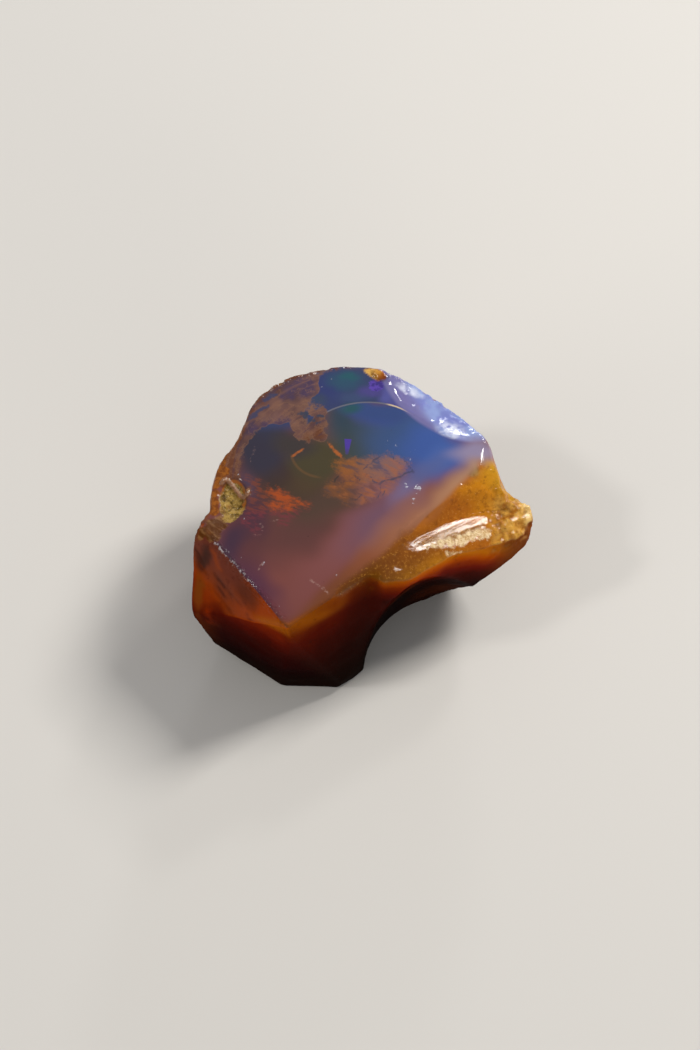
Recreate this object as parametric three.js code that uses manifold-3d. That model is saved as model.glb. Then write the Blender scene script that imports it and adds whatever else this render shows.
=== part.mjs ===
// A rough opal: one broken chunk of precious opal in its amber potch, about as wide as a small plum.
// It lies on its flattest fracture, with its broad, bright window face up. The stone is one solid: a nodule blank
// with wavy flanks, which plane fractures, a domed window fracture and shell-shaped hollows then cut to shape.
// Millimetres, +Z up, -Y the front. The origin is below the middle of the stone, on the surface that it rests on.
import * as THREE from "three";
import { ImprovedNoise } from "three/addons/math/ImprovedNoise.js";
import { mergeVertices } from "three/addons/utils/BufferGeometryUtils.js";
import Module from "manifold-3d";

// Driving dimensions of the nodule blank, before anything is broken off it.
const WIDEST_LEVEL = 14; // height of the blank's widest outline above the resting face
const BLANK_REACH = 19; // how far the blank goes above and below that level
const FLANK_FULLNESS = 4.2; // 2 would make the flanks round, and more makes them upright
const BLANK_DETAIL = 18; // subdivisions of the icosahedron that the blank is blown up from
const WAVES = [
  { height: 0.55, length: 9 },
  { height: 0.22, length: 3.6 },
]; // the natural unevenness of the flanks

// The blank's outline seen from above, anticlockwise from the tip of the wing on the right.
const OUTLINE = [
  [25.0, 0.5], // the wing's tip
  [24.2, 1.7],
  [22.4, 2.6],
  [20.8, 4.2],
  [20.0, 6.6],
  [18.9, 9.3],
  [15.6, 13.5],
  [12.1, 16.4],
  [7.1, 19.6],
  [1.8, 21.3],
  [-2.1, 21.8], // the back
  [-6.4, 21.0],
  [-11.4, 19.2],
  [-15.2, 15.9],
  [-18.1, 9.4],
  [-20.0, 5.2],
  [-21.2, 1.4],
  [-21.7, -2.8],
  [-23.5, -4.9], // the bulge on the left
  [-23.8, -11.4],
  [-22.4, -17.2],
  [-15.0, -22.6], // the prow at the front
  [-9.4, -22.6],
  [-2.8, -19.4],
  [0.6, -16.8],
  [2.8, -14.2],
  [6.6, -12.8], // the lip above the notch
  [9.6, -10.9],
  [13.6, -8.0],
  [18.0, -6.2],
  [22.6, -4.0],
  [24.7, -1.6],
];

// The window: a wide, slightly domed fracture that leans a little towards the front.
const WINDOW = {
  through: [0, 0, 24.9],
  facing: 270,
  rise: 84,
  domeRadius: 240,
};

// Plane fractures. Each passes through a point, faces a compass angle (0 is +X, 90 is +Y) and rises above the
// horizontal by an angle; a negative rise is an undercut. One with a width reaches only that far to both sides.
const FRACTURES = {
  underside: { through: [0, 0, 0], facing: 0, rise: -90 },
  leftBevel: { through: [-20.7, -7.1, 23.2], facing: 220.9, rise: 29 },
  leftFlank: { through: [-22.9, -6.0, 21.4], facing: 219.3, rise: 23 },
  prowLeft: { through: [-10.1, -20.5, 21.6], facing: 240, rise: -4 },
  prowRight: { through: [-4.3, -16.5, 22.5], facing: 304, rise: 8, width: 15 },
  prowFoot: { through: [-8.0, -18.2, 1.0], facing: 268, rise: -8 },
  amberBevel: { through: [10.3, -3.1, 24.3], facing: 316, rise: 60 },
  lowerLeft: { through: [-22.0, -12.0, 3.5], facing: 214, rise: -60 },
  underBulge: { through: [-23.5, -4.0, 11.0], facing: 168, rise: -28 },
  underWing: { through: [24.6, -2.0, 14.2], facing: 325, rise: -38 },
  rightBack: { through: [16.5, 11.5, 17.0], facing: 40, rise: -26 },
  back: { through: [0.0, 20.4, 19.0], facing: 96, rise: -15 },
  leftBack: { through: [-15.6, 14.2, 19.0], facing: 146, rise: -24 },
};

// Hollows: shell-shaped scars, each cut by an ellipsoid with these half-axes. Its long axis dips below the
// horizontal by one angle and is turned about Z by another.
const HOLLOWS = {
  notch: { centre: [13.2, -15.6, -2.0], halfAxes: [12.8, 12.5, 40], dip: 17, turn: 270 },
  lilacScallop: { centre: [13.8, 15.6, 31.0], halfAxes: [15.5, 9.3, 7.0], dip: 0, turn: -39 },
  amberTrough: { centre: [11.1, -7.4, 23.7], halfAxes: [13.1, 2.9, 1.55], dip: 15.4, turn: 32.2 },
  matrixPit: { centre: [-18.0, -0.7, 24.9], halfAxes: [3.5, 2.2, 1.9], dip: 0, turn: 94 },
  rimBite: { centre: [24.8, 3.6, 23.5], halfAxes: [4.6, 4.6, 5.0], dip: 0, turn: 0 },
  backShell: { centre: [2.0, 32.4, 9.5], halfAxes: [15, 16.5, 10], dip: 0, turn: 12 },
};
const HOLLOW_SEGMENTS = { around: 48, down: 28 };

// A crumb of matrix that grew on to the back rim.
const CRUMB = { centre: [3.2, 19.3, 26.0], halfAxes: [1.6, 0.9, 0.8], dip: 0, turn: -30 };

const BODY_COLOUR = 0x9a5a2c;
const LARGE = 80; // wider than the stone, for the cutting blocks

const radians = THREE.MathUtils.degToRad;

// The outline's radius at any compass angle, read off a closed curve through its points.
function outlineRadius() {
  const points = OUTLINE.map(([x, y]) => new THREE.Vector3(x, y, 0));
  const samples = new THREE.CatmullRomCurve3(points, true, "centripetal")
    .getPoints(720)
    .map((p) => ({ angle: Math.atan2(p.y, p.x), radius: Math.hypot(p.x, p.y) }))
    .sort((a, b) => a.angle - b.angle);
  return (angle) => {
    const after = samples.findIndex((s) => s.angle >= angle);
    const next = samples[Math.max(after, 0)];
    const last = samples[after > 0 ? after - 1 : samples.length - 1];
    const span = next.angle - last.angle;
    const share = span > 0 ? (angle - last.angle) / span : 0;
    return THREE.MathUtils.lerp(last.radius, next.radius, THREE.MathUtils.clamp(share, 0, 1));
  };
}

// Gentle bumps, the same on every run.
const noise = new ImprovedNoise();
function waviness(p) {
  const bump = ({ height, length }) => height * noise.noise(p.x / length, p.y / length, p.z / length);
  return WAVES.reduce((sum, wave) => sum + bump(wave), 0);
}

// The blank: an icosahedron blown up until it meets upright flanks that follow the outline.
function noduleBlank() {
  const radiusAt = outlineRadius();
  const geometry = new THREE.IcosahedronGeometry(1, BLANK_DETAIL);
  const position = geometry.getAttribute("position");
  const point = new THREE.Vector3();
  for (let i = 0; i < position.count; i++) {
    point.fromBufferAttribute(position, i).normalize();
    const flat = Math.hypot(point.x, point.y);
    const outline = radiusAt(Math.atan2(point.y, point.x));
    const sideways = Math.pow(flat / outline, FLANK_FULLNESS);
    const upwards = Math.pow(Math.abs(point.z) / BLANK_REACH, FLANK_FULLNESS);
    point.multiplyScalar(Math.pow(sideways + upwards, -1 / FLANK_FULLNESS));
    point.setLength(point.length() + waviness(point));
    position.setXYZ(i, point.x, point.y, point.z + WIDEST_LEVEL);
  }
  return geometry;
}

// Turns geometry made about +Z so that +Z faces a compass angle and a rise, and moves it to a point.
function aim(geometry, { through, facing, rise }) {
  geometry.rotateY(radians(90 - rise));
  geometry.rotateZ(radians(facing));
  geometry.translate(...through);
  return geometry;
}

// What lies beyond a plane fracture, as a block that takes it away.
function beyond(fracture) {
  const block = new THREE.BoxGeometry(2 * LARGE, fracture.width ?? 2 * LARGE, LARGE);
  block.translate(0, 0, LARGE / 2);
  return aim(block, fracture);
}

// The space under the domed window, as a drum with a domed top.
function underDome() {
  const rings = 26;
  const profile = [new THREE.Vector2(0, -LARGE)];
  for (let i = rings; i >= 0; i--) {
    const radius = (LARGE / 2) * (i / rings);
    const sag = WINDOW.domeRadius - Math.sqrt(WINDOW.domeRadius ** 2 - radius ** 2);
    if (i === rings) profile.push(new THREE.Vector2(radius, -LARGE));
    profile.push(new THREE.Vector2(radius, -sag));
  }
  const drum = new THREE.LatheGeometry(profile, 64);
  drum.rotateX(radians(90));
  return aim(drum, WINDOW);
}

function ellipsoid({ centre, halfAxes, dip, turn }) {
  const ball = new THREE.SphereGeometry(1, HOLLOW_SEGMENTS.around, HOLLOW_SEGMENTS.down);
  ball.scale(...halfAxes);
  ball.rotateY(radians(dip));
  ball.rotateZ(radians(turn));
  ball.translate(...centre);
  return ball;
}

const wasm = await Module();
wasm.setup();

function solidFrom(geometry) {
  const bare = geometry.clone();
  bare.deleteAttribute("normal");
  bare.deleteAttribute("uv");
  const merged = mergeVertices(bare, 1e-4);
  const solid = new wasm.Manifold(
    new wasm.Mesh({
      numProp: 3,
      vertProperties: new Float32Array(merged.getAttribute("position").array),
      triVerts: new Uint32Array(merged.index.array),
    }),
  );
  return solid;
}

function geometryFrom(solid) {
  const mesh = solid.getMesh();
  const geometry = new THREE.BufferGeometry();
  geometry.setAttribute("position", new THREE.BufferAttribute(new Float32Array(mesh.vertProperties), 3));
  geometry.setIndex(new THREE.BufferAttribute(new Uint32Array(mesh.triVerts), 1));
  geometry.computeVertexNormals();
  return geometry;
}

function breakToShape() {
  let stone = solidFrom(noduleBlank()).intersect(solidFrom(underDome()));
  for (const fracture of Object.values(FRACTURES)) stone = stone.subtract(solidFrom(beyond(fracture)));
  for (const hollow of Object.values(HOLLOWS)) stone = stone.subtract(solidFrom(ellipsoid(hollow)));
  return stone.add(solidFrom(ellipsoid(CRUMB)));
}

const opal = new THREE.Mesh(
  geometryFrom(breakToShape()),
  new THREE.MeshStandardMaterial({ color: BODY_COLOUR, roughness: 0.12, metalness: 0 }),
);
opal.name = "opal";

// The stone's own middle is put over the origin.
opal.geometry.computeBoundingBox();
const middle = opal.geometry.boundingBox.getCenter(new THREE.Vector3());
opal.position.set(-middle.x, -middle.y, 0);

const roughOpal = new THREE.Group();
roughOpal.add(opal);

export default roughOpal;
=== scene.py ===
"""Looks of the rough opal: its broken surface, its colours, and the clouds sealed under its window.

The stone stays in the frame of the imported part: metres, +Z up, resting on z = 0, with its window face up
and its front towards -Y. Shapes are worked out in millimetres and put into metres at the end. Places in plan
are x, y.
"""

import math

import bmesh
import bpy
import numpy as np
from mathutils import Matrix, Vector, noise
from mathutils.bvhtree import BVHTree


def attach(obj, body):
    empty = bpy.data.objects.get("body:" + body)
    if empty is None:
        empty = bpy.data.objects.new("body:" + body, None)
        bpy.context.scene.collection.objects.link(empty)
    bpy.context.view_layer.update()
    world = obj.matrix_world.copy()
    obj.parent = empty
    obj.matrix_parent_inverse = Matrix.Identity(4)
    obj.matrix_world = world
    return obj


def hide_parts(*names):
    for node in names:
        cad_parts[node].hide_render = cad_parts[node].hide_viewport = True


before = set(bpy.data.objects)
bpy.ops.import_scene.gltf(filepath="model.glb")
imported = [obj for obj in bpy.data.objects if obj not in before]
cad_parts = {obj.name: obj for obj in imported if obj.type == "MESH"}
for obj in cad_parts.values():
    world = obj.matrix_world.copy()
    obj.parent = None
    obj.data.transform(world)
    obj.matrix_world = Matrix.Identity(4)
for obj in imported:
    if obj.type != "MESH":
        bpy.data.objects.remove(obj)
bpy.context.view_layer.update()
MM = 0.001

# ------------------------------------------------------------ the stone's faces
# Each plane face of the break: a point on it, the compass angle that it faces, and its rise above the
# horizontal.
FACES = {
    "amber": ((9.8, -3.5, 24.3), 316, 60),
    "left_bevel": ((-21.2, -7.5, 23.2), 220.9, 29),
    "left_flank": ((-23.4, -6.4, 21.4), 219.3, 23),
    "prow_left": ((-10.6, -20.9, 21.6), 240, -4),
    "prow_right": ((-4.8, -16.9, 22.5), 304, 8),
}
# The window: a slightly domed face that leans towards the front.
WINDOW_MIDDLE = (-0.5, -0.4, 24.9)
WINDOW_SLOPE = 0.105
WINDOW_DOME = 240.0  # its radius

# Rounded stretches and ridges, as lines through places in plan.
LEFT_RIDGE = [(-21.2, -7.6), (-10.4, -20.8)]
PROW_RIDGE = [(-10.4, -20.8), (-3.6, -16.9)]
SHOULDER = [(-1.5, -15.6), (17.6, 5.0)]  # where the window rolls over into the amber face
SCALLOP_EDGE = [(5.0, 16.4), (7.8, 12.5), (10.0, 9.2), (12.4, 7.2), (17.6, 5.9)]
TROUGH = [(6.5, -9.1), (12.4, -4.4), (18.4, -1.6)]  # the groove along the amber face
PROW_TURN = [(-0.4, -15.6), (0.6, -14.8), (1.8, -14.2)]  # where the prow turns into the notch
PIT_TAIL = [(-20.0, -4.6), (-21.2, -5.8), (-23.4, -5.4)]  # the grainy tail beside the pit
PIT_LIP = [
    (-20.2, 1.3), (-19.8, 1.9), (-19.2, 1.75), (-18.5, 1.25), (-18.0, 0.5), (-17.5, -0.3), (-17.0, -0.75),
    (-16.5, -0.6), (-16.35, 0.0),
]

# The groove's polished bed: a slightly bowed strip between two ends.
BED_ENDS = [(6.7, -9.0), (18.3, -1.45)]
BED_LEVEL = 21.86  # its height half way along
BED_FALL = 0.212  # per mm towards the wing
BED_RISE = 0.258  # per mm towards the window
BED_BOW = 0.8  # how far the strip bows towards the window
BED_MIDDLE = -0.65  # where its middle lies across that bow
BED_HALF_WIDTH = 0.75
BED_WORN = ((12.6, -5.2), 33, (6.4, 0.64))  # where its polish is worn: centre, turn in plan, half-axes

# Small wet lumps along the lower rim of the amber face: x, y and reach.
WET_LUMPS = [
    (4.6, -12.7, 0.5), (5.4, -12.4, 0.35), (3.9, -12.9, 0.3), (6.4, -11.9, 0.25), (7.5, -11.4, 0.3),
    (2.9, -13.4, 0.25), (9.2, -10.4, 0.25), (16.9, 1.0, 0.3), (14.2, 0.9, 0.25),
]
# Straight scratches along the thin facet on the left: a place on its ridge, the direction away from the
# ridge, how far out each scratch runs, and half the width of one.
BEVEL_RIDGE = (-21.0, -10.0)
SCRATCH_ASIDE = (-0.8, -0.6)
SCRATCHES = (0.5, 1.0, 1.45, 2.1, 2.5)
SCRATCH_HALF_WIDTH = 0.17
SHELL_CENTRE = (-12.0, -23.0, 30.0)  # shell ripples in the flanks spread from here
SHELL_SPACING = 2.4

# The low ledge of the curved step near the back: an arc in plan.
LEDGE_CENTRE = (0.9, 2.2)
LEDGE_RADIUS = 12.0

# Rounded places, each with its centre, half-axes and turn in plan.
SCALLOP = ((13.27, 15.17, 31.0), (15.5, 9.3, 7.0), -39)
CRUMB = ((2.2, 18.9, 25.9), (1.9, 0.85, 1.3), -32)
# Fine ripples spread from these: a knock in the scallop, and the groove's lower end with its turn and
# half-axes.
SCALLOP_KNOCK = (12.9, 9.6)
GROOVE_END = ((8.9, -7.1), 38, (2.0, 0.42))


def facing(compass_angle, rise):
    """The unit direction at a compass angle and a rise, in degrees."""
    turn, rise = math.radians(compass_angle), math.radians(rise)
    return np.array([math.cos(turn) * math.cos(rise), math.sin(turn) * math.cos(rise), math.sin(rise)])


def above(points, face):
    """How far each point lies outside the plane of a face."""
    through, compass_angle, rise = FACES[face]
    return (points - np.array(through)) @ facing(compass_angle, rise)


def window_height(x, y):
    off_x, off_y = x - WINDOW_MIDDLE[0], y - WINDOW_MIDDLE[1]
    return WINDOW_MIDDLE[2] + WINDOW_SLOPE * off_y - (off_x**2 + off_y**2) / (2 * WINDOW_DOME)


def step(values, low, high):
    """0 at low, 1 at high, and a smooth rise between them."""
    share = np.clip((values - low) / (high - low), 0.0, 1.0)
    return share * share * (3 - 2 * share)


def fade(values, low, high):
    """1 at low, 0 at high, and a smooth fall between them."""
    return 1 - step(values, low, high)


def between(values, low, high, soft):
    return step(values, low - soft, low + soft) * fade(values, high - soft, high + soft)


def compass(points):
    """The angle of each point about the middle of the stone, in degrees."""
    return np.degrees(np.arctan2(points[:, 1], points[:, 0])) % 360


def turned(off, turn):
    """Offsets measured along and across a direction in plan; a height stays as it is."""
    turn = math.radians(turn)
    along = off[:, :2] @ (math.cos(turn), math.sin(turn))
    across = off[:, :2] @ (-math.sin(turn), math.cos(turn))
    return np.column_stack([along, across, off[:, 2:]])


def reach_from(points, centre, half_axes, turn):
    """How far each point is from a centre, in units of the half-axes."""
    return np.linalg.norm(turned(points - np.array(centre), turn) / half_axes, axis=1)


def to_segment(places, start, end):
    """Distance in plan from each place to a straight line, and the nearest point's share of the way along."""
    start, end = np.array(start), np.array(end)
    share = np.clip((places - start) @ (end - start) / ((end - start) @ (end - start)), 0, 1)
    return np.linalg.norm(places - start - share[:, None] * (end - start), axis=1), share


def along_path(points, path):
    """Distance in plan from each point to a line through some places, and how far along it that is in mm."""
    best, where, done = np.full(len(points), np.inf), np.zeros(len(points)), 0.0
    for start, end in zip(path, path[1:]):
        length = math.dist(start, end)
        distance, share = to_segment(points[:, :2], start, end)
        closer = distance < best
        best[closer] = distance[closer]
        where[closer] = (done + share * length)[closer]
        done += length
    return best, where


def off_path(points, path):
    return along_path(points, path)[0]


def noise_shift(seed):
    return Vector((seed * 7.1, seed * 3.7, seed * 5.3))


def grain(points, size, seed, octaves=3):
    """Fractal noise about 0, within about 1, with lumps of the given size in mm."""
    shift = noise_shift(seed)
    return np.array([noise.fractal(Vector(p) / size + shift, 1.0, 2.0, octaves) for p in points])


def cells(points, size, seed):
    """Nearness to scattered centres: 0 at a centre, and less further away, in units of size."""
    shift = noise_shift(seed)
    return -np.array([noise.voronoi(Vector(p) / size + shift)[0][0] for p in points])


# ------------------------------------------------------------ the fine surface
VOXEL = 0.27  # mm; the stone's surface comes to about 95,000 faces with four corners


class Surface:
    """The stone's mesh as arrays, in millimetres, while it is carved."""

    def __init__(self, mesh):
        count = len(mesh.vertices)
        co = np.empty(count * 3)
        mesh.vertices.foreach_get("co", co)
        self.mesh = mesh
        self.points = co.reshape(-1, 3) / MM
        ends = np.empty(len(mesh.edges) * 2, dtype=np.int32)
        mesh.edges.foreach_get("vertices", ends)
        self.ends = ends.reshape(-1, 2)
        self.degree = np.bincount(self.ends.ravel(), minlength=count).astype(float)
        self.store()

    def store(self):
        self.mesh.vertices.foreach_set("co", (self.points * MM).ravel())
        self.mesh.update()
        normals = np.empty(len(self.points) * 3, dtype=np.float32)
        self.mesh.vertex_normals.foreach_get("vector", normals)
        self.normals = normals.reshape(-1, 3).astype(float)

    def around(self, values):
        """The mean of each vertex's neighbours."""
        a, b = self.ends[:, 0], self.ends[:, 1]
        columns = values.reshape(len(self.points), -1)
        sums = [
            np.bincount(a, columns[b, k], len(self.points)) + np.bincount(b, columns[a, k], len(self.points))
            for k in range(columns.shape[1])
        ]
        return (np.stack(sums, 1) / self.degree[:, None]).reshape(values.shape)

    def spread(self, values, rounds):
        for _ in range(rounds):
            values = 0.5 * values + 0.5 * self.around(values)
        return values

    def sharpness(self, rounds=5):
        """0 on a smooth stretch and 1 on a crisp edge, positive on a ridge and negative in a groove."""
        mean = self.spread(self.normals, rounds)
        mean /= np.linalg.norm(mean, axis=1, keepdims=True)
        turn = np.degrees(np.arccos(np.clip((mean * self.normals).sum(1), -1, 1)))
        bulge = ((self.points - self.spread(self.points, rounds)) * self.normals).sum(1)
        return step(self.spread(turn, 2), 4.0, 12.0) * np.sign(self.spread(bulge, 2))

    def ridges(self, rounds):
        """1 on a crisp ridge, 0 elsewhere, spread over the vertices around it."""
        return self.spread(np.clip(self.sharpness(), 0, 1), rounds)

    def pull(self, weight):
        """Moves each vertex towards the middle of its neighbours, or away with a negative weight."""
        self.points += weight[:, None] * (self.around(self.points) - self.points)

    def ease(self, rounds, weight):
        """Evens out the surface and keeps its volume, as strongly as the weight at each vertex says."""
        for _ in range(rounds):
            self.pull(0.5 * weight)
            self.pull(-0.47 * weight)
        self.store()

    def melt(self, rounds, weight):
        """Rounds the surface off, as strongly as the weight at each vertex says."""
        for _ in range(rounds):
            self.pull(0.5 * weight)
        self.store()

    def lift(self, amount):
        """Moves each vertex along its normal by an amount in mm."""
        self.points += self.normals * amount[:, None]
        self.store()

    def on_window(self):
        x, y, z = self.points.T
        return fade(np.abs(z - window_height(x, y)), 0.3, 0.7)


def remeshed_stone():
    """An even fine mesh on the CAD solid's surface."""
    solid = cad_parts["opal"]
    work = bmesh.new()
    work.from_mesh(solid.data)
    bmesh.ops.remove_doubles(work, verts=work.verts, dist=1e-7)
    tree = BVHTree.FromBMesh(work)
    mesh = bpy.data.meshes.new("stone")
    work.to_mesh(mesh)
    work.free()
    stone = bpy.data.objects.new("stone", mesh)
    bpy.context.scene.collection.objects.link(stone)
    remesh = stone.modifiers.new("even mesh", "REMESH")
    remesh.mode = "VOXEL"
    remesh.voxel_size = VOXEL * MM
    remesh.adaptivity = 0.0
    bpy.context.view_layer.update()
    fine = bpy.data.meshes.new_from_object(stone.evaluated_get(bpy.context.evaluated_depsgraph_get()))
    stone.modifiers.clear()
    stone.data = fine
    fine.name = "stone"
    surface = Surface(fine)
    surface.points = np.array([tree.find_nearest(Vector(p) * MM)[0] for p in surface.points]) / MM
    surface.store()
    return stone, surface


def soften(surface):
    """The window's rolled shoulder towards the amber face, the gentle fall into the lilac scallop, the
    groove's rounded walls, and the melted hollow where the prow turns into the notch."""
    for path, rounds, near, level in (
        (SHOULDER, 90, (1.2, 3.2), (17.0, 19.0)),
        (SCALLOP_EDGE, 60, (0.9, 2.4), (16.5, 18.5)),
        (TROUGH, 14, (2.2, 3.6), (14.0, 16.0)),
    ):
        gap = off_path(surface.points, path)
        surface.melt(rounds, fade(gap, *near) * step(surface.points[:, 2], *level))
    z = surface.points[:, 2]
    turn = fade(off_path(surface.points, PROW_TURN), 1.4, 3.4)
    surface.melt(160, turn * fade(z, 18.6, 20.6) * step(z, 0.6, 2.5))


def bed_trough(surface):
    """The groove's narrow polished bed, and the slow rise from it to the amber face."""
    start, end = np.array(BED_ENDS)
    length = np.linalg.norm(end - start)
    along = (end - start) / length
    off = surface.points[:, :2] - start
    share = off @ along / length
    sideways = off @ (-along[1], along[0])
    swell = 1 - (2 * share - 1) ** 2
    across = sideways - BED_BOW * swell - BED_MIDDLE
    half = BED_HALF_WIDTH * np.sqrt(np.clip(swell, 0.02, 1))
    z = surface.points[:, 2]
    bed = BED_LEVEL - BED_FALL * (share - 0.5) * length + BED_RISE * sideways
    face = z - above(surface.points, "amber") / facing(*FACES["amber"][1:])[2] - 0.12
    up = step(across, half, 3.65)
    reach = step(across, -1.1 - half, -half) * fade(across, 2.85, 3.85)
    reach *= between(share, 0.01, 1.15, 0.09) * step(z, 14.0, 16.0)
    z += reach * (bed * (1 - up) + face * up - z)
    surface.store()


def wave_faces(surface):
    """Lumps on the flanks and the amber face, shell ripples at the front, and the window's low ledge."""
    points = surface.points
    on_window = surface.on_window()
    y, z = points[:, 1], points[:, 2]
    amber = fade(np.abs(above(points, "amber")), 2.2, 3.2) * step(z, 16.0, 18.0) * (1 - on_window)
    flanks = np.maximum(fade(z, 17.5, 21.0), (1 - on_window) * (1 - amber)) * step(z, 0.3, 1.5)
    front = step(-y, 3.0, 7.0)
    shell = np.sin(np.linalg.norm(points - SHELL_CENTRE, axis=1) * 2 * math.pi / SHELL_SPACING)
    ripple = 0.006 * front * shell * step(grain(points, 6.0, 16, 2), -0.1, 0.3)
    lumps = (0.16 - 0.09 * front) * grain(points, 2.8, 11)
    lumps += (0.05 - 0.035 * front) * grain(points, 0.9, 12, 2)
    in_trough = fade(off_path(points, TROUGH), 1.8, 2.6)
    swells = 0.07 * (1 - 0.85 * in_trough) * grain(points, 1.8, 13)
    dome = 0.012 * grain(points, 3.0, 14, 2)
    surface.lift(flanks * (lumps + ripple) + amber * swells + on_window * dome)
    x, y = surface.points[:, 0], surface.points[:, 1]
    around_ledge = np.hypot(x - LEDGE_CENTRE[0], y - LEDGE_CENTRE[1]) - LEDGE_RADIUS
    surface.lift(0.09 * step(around_ledge, -0.1, 0.15) * step(y, 9.5, 11.5) * on_window)


def bevel_scratches(points):
    """How deep each point lies in the straight scratches along the thin facet on the left, 0 to 1."""
    out = (points[:, :2] - BEVEL_RIDGE) @ SCRATCH_ASIDE + 0.12 * grain(points, 4.0, 17, 2)
    on_bevel = fade(np.abs(above(points, "left_bevel")), 0.25, 0.5)
    grooves = sum(np.exp(-(((out - place) / SCRATCH_HALF_WIDTH) ** 2)) for place in SCRATCHES)
    return on_bevel * grooves * step(grain(points, 2.5, 15, 2), -0.35, 0.15)


def chip_rims(surface):
    """Bites along the rims and ridges, coarse at the back and as fine as beads along the left ridge."""
    points = surface.points
    edge = surface.ridges(2)
    angle = compass(points)
    high = step(points[:, 2], 17.0, 19.0)
    crumble = np.clip(grain(points, 0.9, 2), 0, 1)
    bites = step(cells(points, 1.5, 1), -0.62, -0.2)
    beads = step(cells(points, 0.62, 3), -0.55, -0.3)
    broad_bites = step(cells(points, 3.2, 18), -0.5, -0.25)
    right = between(angle, 17, 84, 4) * high
    back = between(angle, 88, 205, 5) * high
    back_left = between(angle, 96, 158, 5) * high
    amber_rim = (between(angle, 340, 359, 4) + fade(angle, 13, 19)) * step(points[:, 2], 14.0, 16.0)
    gap, reach = along_path(points, LEFT_RIDGE)
    ridge = fade(gap, 0.4, 0.7) * fade(reach, 10.2, 11.4) * high
    near_ridge = fade(gap, 0.5, 0.9) * high
    near_prow = fade(off_path(points, PROW_RIDGE), 0.5, 0.9) * high
    elsewhere = 1 - np.max([right, back, near_ridge, near_prow], 0)
    depth = right * (0.75 * bites + 0.5 * crumble) + back * (0.8 * bites + 0.6 * crumble)
    depth += 0.9 * back_left * broad_bites + ridge * (0.34 * beads + 0.16 * crumble)
    depth += (0.3 * amber_rim + 0.16 * elsewhere) * crumble
    surface.lift(-edge * depth)


def lump_wing(surface):
    """The wing on the right: wet, knobbly lumps."""
    x, y, z = surface.points.T
    wing = step(x, 17.0, 19.5) * step(-y, -3.5, -1.5) * step(z, 15.0, 18.0)
    surface.lift(wing * (0.42 * grain(surface.points, 2.2, 5, 2) + 0.3 * grain(surface.points, 0.9, 6, 2)))


def lump_lip(surface):
    high = step(surface.points[:, 2], 17.0, 19.0)
    for x, y, reach in WET_LUMPS:
        off = np.hypot(surface.points[:, 0] - x, surface.points[:, 1] - y)
        surface.lift(0.3 * reach * high * np.exp(-((off / reach) ** 2)))


def roughen_matrix(surface):
    """The granular matrix in the pit and its tail, and the pit's rolled lip."""
    points = surface.points
    pit = fade(np.hypot((points[:, 0] + 18.7) / 1.9, (points[:, 1] + 1.3) / 3.0), 0.85, 1.15)
    tail = fade(off_path(points, PIT_TAIL), 0.8, 1.6)
    grains = 0.16 * grain(points, 0.8, 7) + 0.18 * cells(points, 0.9, 8) + 0.08
    surface.lift(np.maximum(pit, 0.8 * tail) * step(points[:, 2], 19.0, 21.0) * grains)
    lip = np.exp(-((off_path(surface.points, PIT_LIP) / 0.32) ** 2))
    surface.lift(0.42 * lip * step(surface.points[:, 2], 21.0, 22.0))


def carve(surface):
    """Everything that breaking and chipping did to the stone. It stays within the CAD solid's box."""
    low, high = surface.points.min(0), surface.points.max(0)
    surface.ease(14, 1 - np.abs(surface.sharpness()))
    soften(surface)
    bed_trough(surface)
    wave_faces(surface)
    surface.lift(-0.08 * bevel_scratches(surface.points))
    chip_rims(surface)
    lump_wing(surface)
    lump_lip(surface)
    roughen_matrix(surface)
    surface.points = np.clip(surface.points, low, high)
    surface.store()


# ------------------------------------------------------------ the stone's colours
# Shades are display colours, 0 to 255. Clouds are round spots that run together: x, y, radius. Streaks are
# two ends and a width.

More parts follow.
